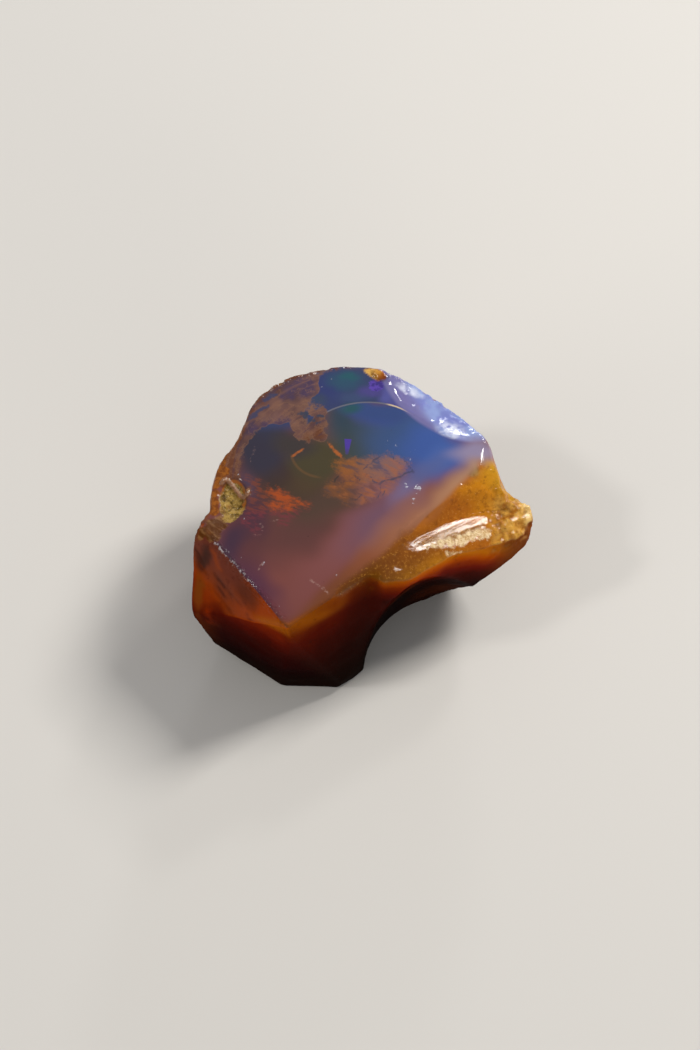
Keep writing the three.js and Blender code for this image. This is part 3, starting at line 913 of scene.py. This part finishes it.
class Recipe:
    """A material on Object coordinates, in millimetres. Most methods add nodes and give back a socket."""

    def __init__(self, name):
        self.material = bpy.data.materials.new(name)
        self.material.use_nodes = True
        self.tree = self.material.node_tree
        self.shader = self.tree.nodes["Principled BSDF"]
        place = self.tree.nodes.new("ShaderNodeTexCoord").outputs["Object"]
        self.mm = self.vector("SCALE", place, scale=1 / MM)

    def feed(self, socket, value):
        if isinstance(value, bpy.types.NodeSocket):
            self.tree.links.new(value, socket)
        else:
            socket.default_value = value

    def math(self, operation, a, b=0.0):
        node = self.tree.nodes.new("ShaderNodeMath")
        node.operation = operation
        self.feed(node.inputs[0], a)
        self.feed(node.inputs[1], b)
        return node.outputs[0]

    def vector(self, operation, a, b=(0, 0, 0), scale=1.0):
        node = self.tree.nodes.new("ShaderNodeVectorMath")
        node.operation = operation
        self.feed(node.inputs[0], a)
        self.feed(node.inputs[1], b)
        if operation == "SCALE":
            node.inputs["Scale"].default_value = scale
        return node.outputs["Value" if operation in ("LENGTH", "DOT_PRODUCT") else "Vector"]

    def split(self, place):
        node = self.tree.nodes.new("ShaderNodeSeparateXYZ")
        self.feed(node.inputs[0], place)
        return node.outputs

    def plus(self, value, extra, times=1.0):
        """A value with so many times another added to it."""
        return self.math("ADD", value, extra if times == 1.0 else self.math("MULTIPLY", extra, times))

    def minus(self, value, other):
        return self.math("SUBTRACT", value, other)

    def size(self, value):
        """A value without its sign."""
        return self.math("ABSOLUTE", value)

    def both(self, *masks):
        result = masks[0]
        for mask in masks[1:]:
            result = self.math("MULTIPLY", result, mask)
        return result

    def either(self, *masks):
        result = masks[0]
        for mask in masks[1:]:
            result = self.math("MAXIMUM", result, mask)
        return result

    def ramp(self, value, low, high, start=0.0, end=1.0):
        """start at low, end at high, and a smooth change between them."""
        node = self.tree.nodes.new("ShaderNodeMapRange")
        node.interpolation_type = "SMOOTHSTEP"
        for socket, number in zip(node.inputs[:5], (value, low, high, start, end)):
            self.feed(socket, number)
        return node.outputs[0]

    def fade(self, value, low, high, start=1.0):
        return self.ramp(value, low, high, start, 0.0)

    def hairline(self, value, middle, half):
        return self.fade(self.size(self.minus(value, middle)), 0.25 * half, half)

    def clouds(self, place, scale, detail, roughness=0.5, distortion=0.0):
        node = self.tree.nodes.new("ShaderNodeTexNoise")
        self.feed(node.inputs["Vector"], place)
        node.inputs["Scale"].default_value = scale
        node.inputs["Detail"].default_value = detail
        node.inputs["Roughness"].default_value = roughness
        node.inputs["Distortion"].default_value = distortion
        return node.outputs["Fac"]

    def noise(self, size, detail=3.0, roughness=0.55):
        return self.clouds(self.mm, 1 / size, detail, roughness)

    def streaks(self, turn, size, detail=3.0):
        """Noise drawn out along one direction in plan."""
        return self.clouds(self.local((0, 0, 0), turn, size), 1.0, detail)

    def curtains(self, centre, across, along, detail=4.0):
        """Noise drawn out around a centre, with folds as wide as across and as long as along, in mm."""
        x, y, _ = self.split(self.local(centre))
        wrap = self.tree.nodes.new("ShaderNodeCombineXYZ")
        self.feed(wrap.inputs[0], self.math("DIVIDE", self.ring(centre), across))
        self.feed(wrap.inputs[1], self.math("MULTIPLY", self.math("ARCTAN2", y, x), 10.0 / along))
        return self.clouds(wrap.outputs[0], 1.0, detail, distortion=0.6)

    def kept(self, name, output="Fac"):
        """What the painter stored on the mesh under a name."""
        node = self.tree.nodes.new("ShaderNodeAttribute")
        node.attribute_name = name
        return node.outputs[output]

    def inside(self, name, soft, ragged):
        """1 within the edge of a marking, with a border that the fine grain makes uneven."""
        return self.fade(self.plus(self.kept(name), self.fray, ragged), -soft, soft)

    def local(self, centre, turn=0.0, reach=(1, 1, 1)):
        """The place as seen from a centre, turned, with reach as the unit along each axis."""
        node = self.tree.nodes.new("ShaderNodeMapping")
        node.vector_type = "TEXTURE"
        self.feed(node.inputs["Vector"], self.mm)
        node.inputs["Location"].default_value = centre
        node.inputs["Rotation"].default_value = (0, 0, math.radians(turn))
        node.inputs["Scale"].default_value = reach
        return node.outputs[0]

    def ring(self, centre, turn=0.0, reach=(1, 1)):
        """Distance in plan from a centre, in units of reach."""
        place = self.local((*centre[:2], 0), turn, (*reach, 1))
        return self.vector("LENGTH", self.vector("MULTIPLY", place, (1, 1, 0)))

    def height_over(self, face):
        """How far the place lies outside the plane of a face; on the face it is 0."""
        through, compass_angle, rise = FACES[face]
        normal = facing(compass_angle, rise)
        along = self.vector("DOT_PRODUCT", self.mm, tuple(normal))
        return self.minus(along, float(normal @ np.array(through)))

    def height_over_window(self):
        reach = self.ring(WINDOW_MIDDLE)
        sag = self.math("DIVIDE", self.both(reach, reach), 2 * WINDOW_DOME)
        slope = self.math("MULTIPLY", self.minus(self.y, WINDOW_MIDDLE[1]), WINDOW_SLOPE)
        return self.plus(self.minus(self.minus(self.z, WINDOW_MIDDLE[2]), slope), sag)

    def lay(self, under, over, mask, strength=1.0):
        """One colour laid over another through a mask. Each is a socket or a shade."""
        node = self.tree.nodes.new("ShaderNodeMix")
        node.data_type = "RGBA"
        self.feed(node.inputs["Factor"], self.both(mask, strength) if strength != 1.0 else mask)
        for name, shade in (("A", under), ("B", over)):
            self.feed(node.inputs[name], (*paint(*shade), 1.0) if isinstance(shade, tuple) else shade)
        return node.outputs["Result"]


class Opal(Recipe):
    """The stone's one material, from the hazes under its window to the wet polish on its faces."""

    def __init__(self):
        super().__init__("opal")
        self.x, self.y, self.z = self.split(self.mm)
        self.fine = self.noise(0.7, 5.0, 0.65)
        self.grit = self.noise(0.45, 4.0, 0.75)
        self.fray = self.minus(self.noise(0.5, 4.0, 0.7), 0.5)
        self.over_bevel = self.height_over("left_bevel")
        self.over_window = self.height_over_window()
        self.amber_share = self.kept("amber_share")
        self.chipped = self.kept("chipped")

        glass = self.clouds_under_window()
        glass = self.veil_under_window(glass)
        glass = self.specks_on_window(glass)
        colour = self.crusts(self.zones(glass))
        self.feed(self.shader.inputs["Base Color"], colour)
        self.grains = self.either(self.in_matrix, self.in_tail, self.both(self.sandy, self.amber_share))
        self.let_light_through()
        self.polish()
        self.relief()

    def clouds_under_window(self):
        """The hazes, the step to the higher layer, the ember bank, the flames and their smoke."""
        around_ledge = self.ring(LEDGE_CENTRE)
        beyond = self.ramp(around_ledge, LEDGE_RADIUS, LEDGE_RADIUS + 0.12)
        beyond = self.both(beyond, self.ramp(self.y, 9.0, 11.0))
        glass = self.lay(self.kept("window", "Color"), self.kept("top_layer", "Color"), beyond)
        flake = self.fade(self.plus(self.ring((2.1, 17.2), 10, (1.25, 1.1)), self.fray), 0.8, 1.1)
        violet = self.lay((66, 50, 134), (96, 70, 176), self.ramp(self.fine, 0.4, 0.6))
        glass = self.lay(glass, violet, flake, 0.85)
        green_glow = self.fade(self.ring((-1.6, 13.2), 10, (1.7, 1.0)), 0.2, 1.4, 0.8)
        glass = self.lay(glass, (40, 86, 84), green_glow)
        # The ledge's thin edge line, grey on the left and pale on the right: a painted highlight where it
        # catches the light.
        line = self.hairline(around_ledge, LEDGE_RADIUS + 0.02, 0.16)
        line = self.both(line, self.ramp(self.y, 11.4, 12.4))
        arc = self.lay((112, 112, 126), (232, 206, 168), self.ramp(self.x, 3.2, 4.2))
        glass = self.lay(glass, arc, line, 0.85)
        brushed = self.streaks(-24, (2.2, 0.85, 1.0), 6.0)
        body = self.both(self.inside("ember_edge", 0.7, 2.4), self.ramp(brushed, 0.3, 0.5, 0.35, 1.0))
        shade = self.lay(self.kept("ember", "Color"), (172, 100, 52), self.ramp(brushed, 0.5, 0.64), 0.6)
        shade = self.lay(shade, (98, 76, 84), self.ramp(brushed, 0.47, 0.34), 0.5)
        glass = self.lay(glass, shade, body, 0.78)
        slate = self.lay((56, 50, 48), (64, 66, 88), self.ramp(self.x, -2.0, 1.0))
        glass = self.lay(glass, slate, self.inside("crack_edge", 0.09, 0.3), 0.75)
        wisps = self.streaks(-20, (1.3, 0.4, 0.6), 4.0)
        smoke = self.both(self.inside("smoke_edge", 0.7, 1.8), self.ramp(wisps, 0.4, 0.58, 0.1, 1.0))
        wine = self.lay((124, 54, 62), (130, 66, 44), self.ramp(self.y, -4.2, -2.2))
        glass = self.lay(glass, wine, smoke, 0.66)
        flames = self.both(self.inside("flame_edge", 0.45, 1.8), self.ramp(wisps, 0.34, 0.56, 0.35, 1.0))
        return self.lay(glass, (180, 80, 28), flames, 0.75)

    def veil_under_window(self, glass):
        """The veil with its curtain folds, slivers and holes, the flares at its tips and the bow below."""
        depth = self.plus(self.kept("veil_edge"), self.fray)
        folds = self.curtains((-1.0, 1.0, 0), 0.9, 5.0)
        thread = self.hairline(self.noise(2.2, 5.0, 0.6), 0.5, 0.025)
        veil = self.lay(self.kept("veil", "Color"), (146, 106, 76), thread, 0.3)
        veil = self.lay(veil, (144, 100, 76), self.ramp(folds, 0.52, 0.68), 0.4)
        veil = self.lay(veil, (66, 52, 72), self.ramp(folds, 0.47, 0.33), 0.5)
        rim = self.fade(self.size(self.plus(depth, 0.14)), 0.03, 0.2)
        veil = self.lay(veil, (140, 102, 74), rim, 0.45)
        glass = self.lay(glass, veil, self.fade(depth, -0.3, 0.16), 0.93)
        for name, soft, ragged, shade, strength in (
            ("sliver_edge", 0.16, 0.8, (62, 66, 96), 0.85),
            ("hole_edge", 0.12, 0.5, (58, 64, 82), 0.9),
            ("flare_edge", 0.16, 0.5, (184, 100, 44), 0.8),
        ):
            glass = self.lay(glass, shade, self.inside(name, soft, ragged), strength)
        bow = self.hairline(self.ring((-5.8, 6.4)), 4.5, 0.3)
        bow = self.both(bow, self.ramp(self.plus(self.x, self.y), -3.6, -5.0), self.ramp(self.y, 6.0, 5.0))
        return self.lay(glass, (112, 80, 50), bow, 0.5)

    def specks_on_window(self, glass):
        """The violet wedge, and the dark spots, the smears and the dusty specks with their painted glints."""
        across, along, _ = self.split(self.local((-2.15, 6.8, 0), -4))
        half_width = self.plus(0.34, along, 0.13)
        past_side = self.minus(self.size(across), half_width)
        past_end = self.minus(self.size(along), 1.25)
        wedge = self.both(self.fade(past_side, -0.06, 0.08), self.fade(past_end, -0.06, 0.08))
        wedge = self.both(wedge, self.ramp(along, -1.3, 0.2, 0.35, 1.0))
        glass = self.lay(glass, (80, 58, 160), wedge, 0.9)
        glass = self.lay(glass, (64, 40, 36), self.inside("spot_edge", 0.06, 0.3), 0.7)
        smear = self.both(self.inside("smear_edge", 0.14, 0.8), self.ramp(self.grit, 0.36, 0.6))
        glass = self.lay(glass, (184, 150, 140), smear, 0.55)
        # Pale dusty specks that also carry painted glints.
        powder = self.ramp(self.noise(0.22, 3.0, 0.8), 0.4, 0.52, 0.15, 1.0)
        self.dust_and_glints = self.both(self.inside("dust_and_glint_edge", 0.07, 0.5), powder)
        return self.lay(glass, (214, 214, 226), self.dust_and_glints, 0.85)

    def zones(self, glass):
        """The flanks, the left facet, the window, the scallop and the amber face."""
        colour = self.kept("flanks", "Color")
        colour = self.lay(colour, (34, 8, 2), self.ramp(self.noise(1.6, 4.0, 0.6), 0.58, 0.72), 0.3)
        bevel = self.kept("bevel", "Color")
        bevel = self.lay(bevel, (74, 22, 4), self.ramp(self.noise(1.2, 4.0, 0.6), 0.56, 0.68), 0.35)
        colour = self.lay(colour, bevel, self.fade(self.size(self.over_bevel), 0.3, 0.6))
        past_ridge = self.fade(self.minus(self.over_bevel, self.over_window), 0.02, 0.14)
        on_window = self.both(self.ramp(self.over_window, -0.45, -0.15), past_ridge)
        colour = self.lay(colour, glass, self.either(on_window, self.kept("corner")))
        lilac = self.lay(self.kept("lilac", "Color"), (112, 108, 184), self.ramp(self.fine, 0.56, 0.68), 0.35)
        colour = self.lay(colour, lilac, self.fade(self.kept("lilac_edge"), 0.15, 0.5))
        amber = self.kept("amber", "Color")
        amber = self.lay(amber, (108, 56, 6), self.ramp(self.noise(0.9, 5.0, 0.75), 0.5, 0.34), 0.5)
        amber = self.lay(amber, (214, 150, 60), self.ramp(self.grit, 0.52, 0.7), 0.4)
        bubbles = self.tree.nodes.new("ShaderNodeTexVoronoi")
        self.feed(bubbles.inputs["Vector"], self.mm)
        bubbles.inputs["Scale"].default_value = 1.3
        bubble = self.fade(bubbles.outputs["Distance"], 0.06, 0.16)
        amber = self.lay(amber, (236, 190, 120), self.both(bubble, self.ramp(self.fine, 0.48, 0.6)), 0.3)
        sand = self.lay((200, 160, 104), (248, 226, 184), self.ramp(self.grit, 0.36, 0.6))
        drawn_out = self.ramp(self.streaks(28, (1.6, 0.5, 0.8), 4.0), 0.3, 0.42)
        self.sandy = self.both(self.inside("sand_edge", 0.3, 1.2), drawn_out)
        amber = self.lay(amber, sand, self.sandy, 0.9)
        return self.lay(colour, amber, self.amber_share)

    def crusts(self, colour):
        """The strip, the tail and the matrix on the left rim, the pit's lip, the chipped rims, the crumb, and
        painted glints.
        """
        strip = self.lay((122, 62, 4), (166, 96, 20), self.ramp(self.fine, 0.42, 0.6))
        colour = self.lay(colour, strip, self.inside("strip_edge", 0.16, 0.4), 0.9)
        fibres = self.ramp(self.streaks(50, (0.5, 2.2, 1.0), 5.0), 0.44, 0.66)
        self.in_tail = self.inside("tail_edge", 0.25, 1.0)
        colour = self.lay(colour, self.lay((92, 54, 20), (150, 108, 66), fibres), self.in_tail, 0.9)
        khaki = self.lay((70, 50, 16), (176, 144, 76), self.ramp(self.noise(1.3, 6.0, 0.65), 0.36, 0.58))
        khaki = self.lay(khaki, (96, 70, 26), self.ramp(self.grit, 0.5, 0.36), 0.6)
        # Near-white specks: painted sparkle on the matrix grains.
        khaki = self.lay(khaki, (236, 226, 196), self.ramp(self.noise(0.3, 3.0, 0.8), 0.62, 0.7), 0.8)
        self.in_matrix = self.inside("matrix_edge", 0.18, 0.8)
        colour = self.lay(colour, khaki, self.in_matrix)
        self.lip = self.fade(self.kept("lip_edge"), 0.24, 0.4)
        self.lip = self.both(self.lip, self.ramp(self.over_window, -1.2, -0.6))
        buff = self.lay((150, 118, 92), (196, 168, 146), self.ramp(self.fine, 0.4, 0.6))
        colour = self.lay(colour, buff, self.lip)
        browned = self.both(self.kept("rim"), self.ramp(self.fine, 0.36, 0.5))
        colour = self.lay(colour, (128, 70, 16), browned, 0.75)
        # Painted glints: pale beads along the left ridge and the outer left edge.
        beads = self.both(self.kept("beads"), self.ramp(self.noise(0.42, 2.0, 0.5), 0.52, 0.6))
        colour = self.lay(colour, (214, 206, 208), beads, 0.9)
        # Pale flakes on the chipped rims towards the back: chips with painted glints on them.
        flakes_and_painted_glints = self.both(self.chipped, self.ramp(self.noise(0.5, 2.0, 0.5), 0.62, 0.68))
        flakes_and_painted_glints = self.both(flakes_and_painted_glints, self.ramp(self.y, 14.0, 18.0))
        colour = self.lay(colour, (222, 206, 200), flakes_and_painted_glints, 0.85)
        crumb = self.lay(self.kept("crumb", "Color"), (120, 62, 14), self.ramp(self.grit, 0.52, 0.38), 0.6)
        return self.lay(colour, crumb, self.kept("crumb_share"))

    def let_light_through(self):
        """Most light goes through the left facet, less through the rest, and none through grains and sand."""
        clear = self.ramp(self.over_window, -0.5, -0.1, 0.06, 0.1)
        clear = self.either(clear, self.fade(self.size(self.over_bevel), 0.2, 0.5, 0.25))
        clear = self.math("MINIMUM", clear, self.ramp(self.amber_share, 0.2, 0.8, 1.0, 0.15))
        clear = self.math("MINIMUM", clear, self.ramp(self.kept("lilac_edge"), 0.2, 0.5, 0.1, 1.0))
        clear = self.both(clear, self.fade(self.grains, 0.0, 0.5))
        self.feed(self.shader.inputs["Transmission Weight"], clear)
        self.shader.inputs["IOR"].default_value = 1.42
        self.shader.inputs["Specular IOR Level"].default_value = 0.0
        tint = self.tree.nodes.new("ShaderNodeVolumeAbsorption")
        tint.inputs["Color"].default_value = (0.85, 0.55, 0.05, 1)
        tint.inputs["Density"].default_value = 130
        self.tree.links.new(tint.outputs[0], self.tree.nodes["Material Output"].inputs["Volume"])

    def polish(self):
        """The wet polish on top, duller over grains and worn in streaks along the groove's bed."""
        in_bed = self.fade(self.ring(*BED_WORN), 0.72, 1.05)
        brushed = self.streaks(BED_WORN[1], (3.2, 0.2, 1.0))
        worn = self.both(in_bed, self.ramp(brushed, 0.42, 0.56, 0.2, 1.0))
        wet = self.both(self.either(self.kept("wet"), self.lip), self.minus(1.0, self.both(worn, 0.88)))
        wet = self.both(wet, self.ramp(self.grains, 0.0, 1.0, 0.9, 0.35))
        self.feed(self.shader.inputs["Coat Weight"], wet)
        self.shader.inputs["Coat Roughness"].default_value = 0.05
        self.shader.inputs["Coat IOR"].default_value = 1.45
        self.feed(self.shader.inputs["Roughness"], self.plus(0.1, self.grains, 0.4))

    def relief(self):
        """Fine relief: the grains, the amber face's own grain, shell ripples in the scallop, rings around the
        groove, and the raised dusty specks and chips."""
        around_knock = self.ring(SCALLOP_KNOCK)
        shell = self.math("SINE", self.math("MULTIPLY", self.plus(around_knock, self.fray, 0.5), 15.0))
        shell = self.both(shell, self.fade(around_knock, 1.0, 2.6))
        around_groove = self.ring(*GROOVE_END)
        rings = self.math("SINE", self.math("MULTIPLY", around_groove, 12.0))
        rings = self.both(rings, self.fade(around_groove, 0.9, 1.9), self.amber_share)
        height = self.both(self.minus(self.grit, 0.5), self.math("MULTIPLY", self.grains, 0.22))
        chips = self.both(self.minus(self.noise(0.55, 2.0, 0.5), 0.5), self.chipped)
        for bumps, weight in (
            (self.both(self.minus(self.fine, 0.5), self.amber_share), 0.045),
            (shell, 0.004),
            (rings, 0.012),
            (self.dust_and_glints, 0.03),
            (chips, 0.35),
        ):
            height = self.plus(height, bumps, weight)
        bump = self.tree.nodes.new("ShaderNodeBump")
        bump.inputs["Strength"].default_value = 1.0
        bump.inputs["Distance"].default_value = MM
        self.feed(bump.inputs["Height"], height)
        for name in ("Normal", "Coat Normal"):
            self.feed(self.shader.inputs[name], bump.outputs["Normal"])


stone, surface = remeshed_stone()
carve(surface)
stone.data.polygons.foreach_set("use_smooth", np.ones(len(stone.data.polygons), dtype=bool))
Painter(surface).run()
stone.data.materials.clear()
stone.data.materials.append(Opal().material)
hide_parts("opal")
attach(stone, "root")

# ------------------------------------------------------------ floor, lights and the camera
LAMP_DISTANCE = 0.75  # metres from the stone to each lamp
LAMP_TARGET = Vector((0, 0, 0.015))
SOFT_WHITE = (1.0, 0.98, 0.95)
WARM_WHITE = (1.0, 0.92, 0.80)
LAMPS = [
    # name, direction from the stone, size in metres, power, colour, lean, and whether the polish mirrors it
    ("key", (0.572, 0.377, 0.729), (0.17, 0.24), 4.4, (1.0, 0.97, 0.92), 2, True),
    ("kicker", (-0.66, -0.15, 0.73), (0.08, 0.08), 1.0, SOFT_WHITE, 0, True),
    ("back_strip", (0.187, 0.96, 0.21), (0.09, 0.22), 1.0, (0.95, 0.97, 1.0), 0, True),
    ("rim_light", (0.45, 0.69, 0.57), (0.07, 0.07), 0.6, SOFT_WHITE, 0, True),
    ("left_fill", (-0.85, -0.45, 0.28), (0.30, 0.20), 0.9, WARM_WHITE, 0, False),
    ("front_fill", (0.35, -0.90, 0.25), (0.40, 0.20), 0.9, WARM_WHITE, 0, False),
]
CAMERA_RISE = math.radians(58)  # above the horizontal
CAMERA_DISTANCE = 0.4289
CAMERA_AIM = Vector((-1.78, 1.97, 12.0)) * MM
CAMERA_LENS = 100


def add_floor():
    work = bmesh.new()
    bmesh.ops.create_grid(work, x_segments=1, y_segments=1, size=1.5)
    mesh = bpy.data.meshes.new("floor")
    work.to_mesh(mesh)
    work.free()
    floor = bpy.data.objects.new("floor", mesh)
    matt = bpy.data.materials.new("pale floor")
    matt.use_nodes = True
    shader = matt.node_tree.nodes["Principled BSDF"]
    shader.inputs["Base Color"].default_value = (0.66, 0.64, 0.61, 1)
    shader.inputs["Roughness"].default_value = 0.9
    shader.inputs["Specular IOR Level"].default_value = 0.2
    mesh.materials.append(matt)
    bpy.context.scene.collection.objects.link(floor)


def look_at(obj, place, target):
    obj.location = place
    obj.rotation_euler = (target - place).to_track_quat("-Z", "Y").to_euler()


def add_softbox(name, direction, size, power, colour, lean, mirrored):
    """A rectangular lamp that faces the stone; lean turns it about the line to the stone, in degrees."""
    light = bpy.data.lights.new(name, "AREA")
    light.shape = "RECTANGLE"
    light.size, light.size_y = size
    light.energy = power
    light.color = colour
    lamp = bpy.data.objects.new(name, light)
    look_at(lamp, LAMP_TARGET + Vector(direction).normalized() * LAMP_DISTANCE, LAMP_TARGET)
    lamp.rotation_euler.rotate_axis("Z", math.radians(lean))
    lamp.visible_glossy = mirrored
    bpy.context.scene.collection.objects.link(lamp)


def add_camera():
    camera_data = bpy.data.cameras.new("camera")
    camera_data.lens = CAMERA_LENS
    camera_data.clip_start = 0.01
    camera = bpy.data.objects.new("camera", camera_data)
    towards = Vector((0, -math.cos(CAMERA_RISE), math.sin(CAMERA_RISE)))
    look_at(camera, CAMERA_AIM + CAMERA_DISTANCE * towards, CAMERA_AIM)
    bpy.context.scene.collection.objects.link(camera)
    bpy.context.scene.camera = camera


def set_world():
    world = bpy.data.worlds.new("studio")
    world.use_nodes = True
    world.node_tree.nodes["Background"].inputs["Color"].default_value = (0.80, 0.83, 0.88, 1)
    world.node_tree.nodes["Background"].inputs["Strength"].default_value = 0.30
    bpy.context.scene.world = world
    bpy.context.scene.view_settings.view_transform = "Standard"


add_floor()
for lamp in LAMPS:
    add_softbox(*lamp)
set_world()
add_camera()
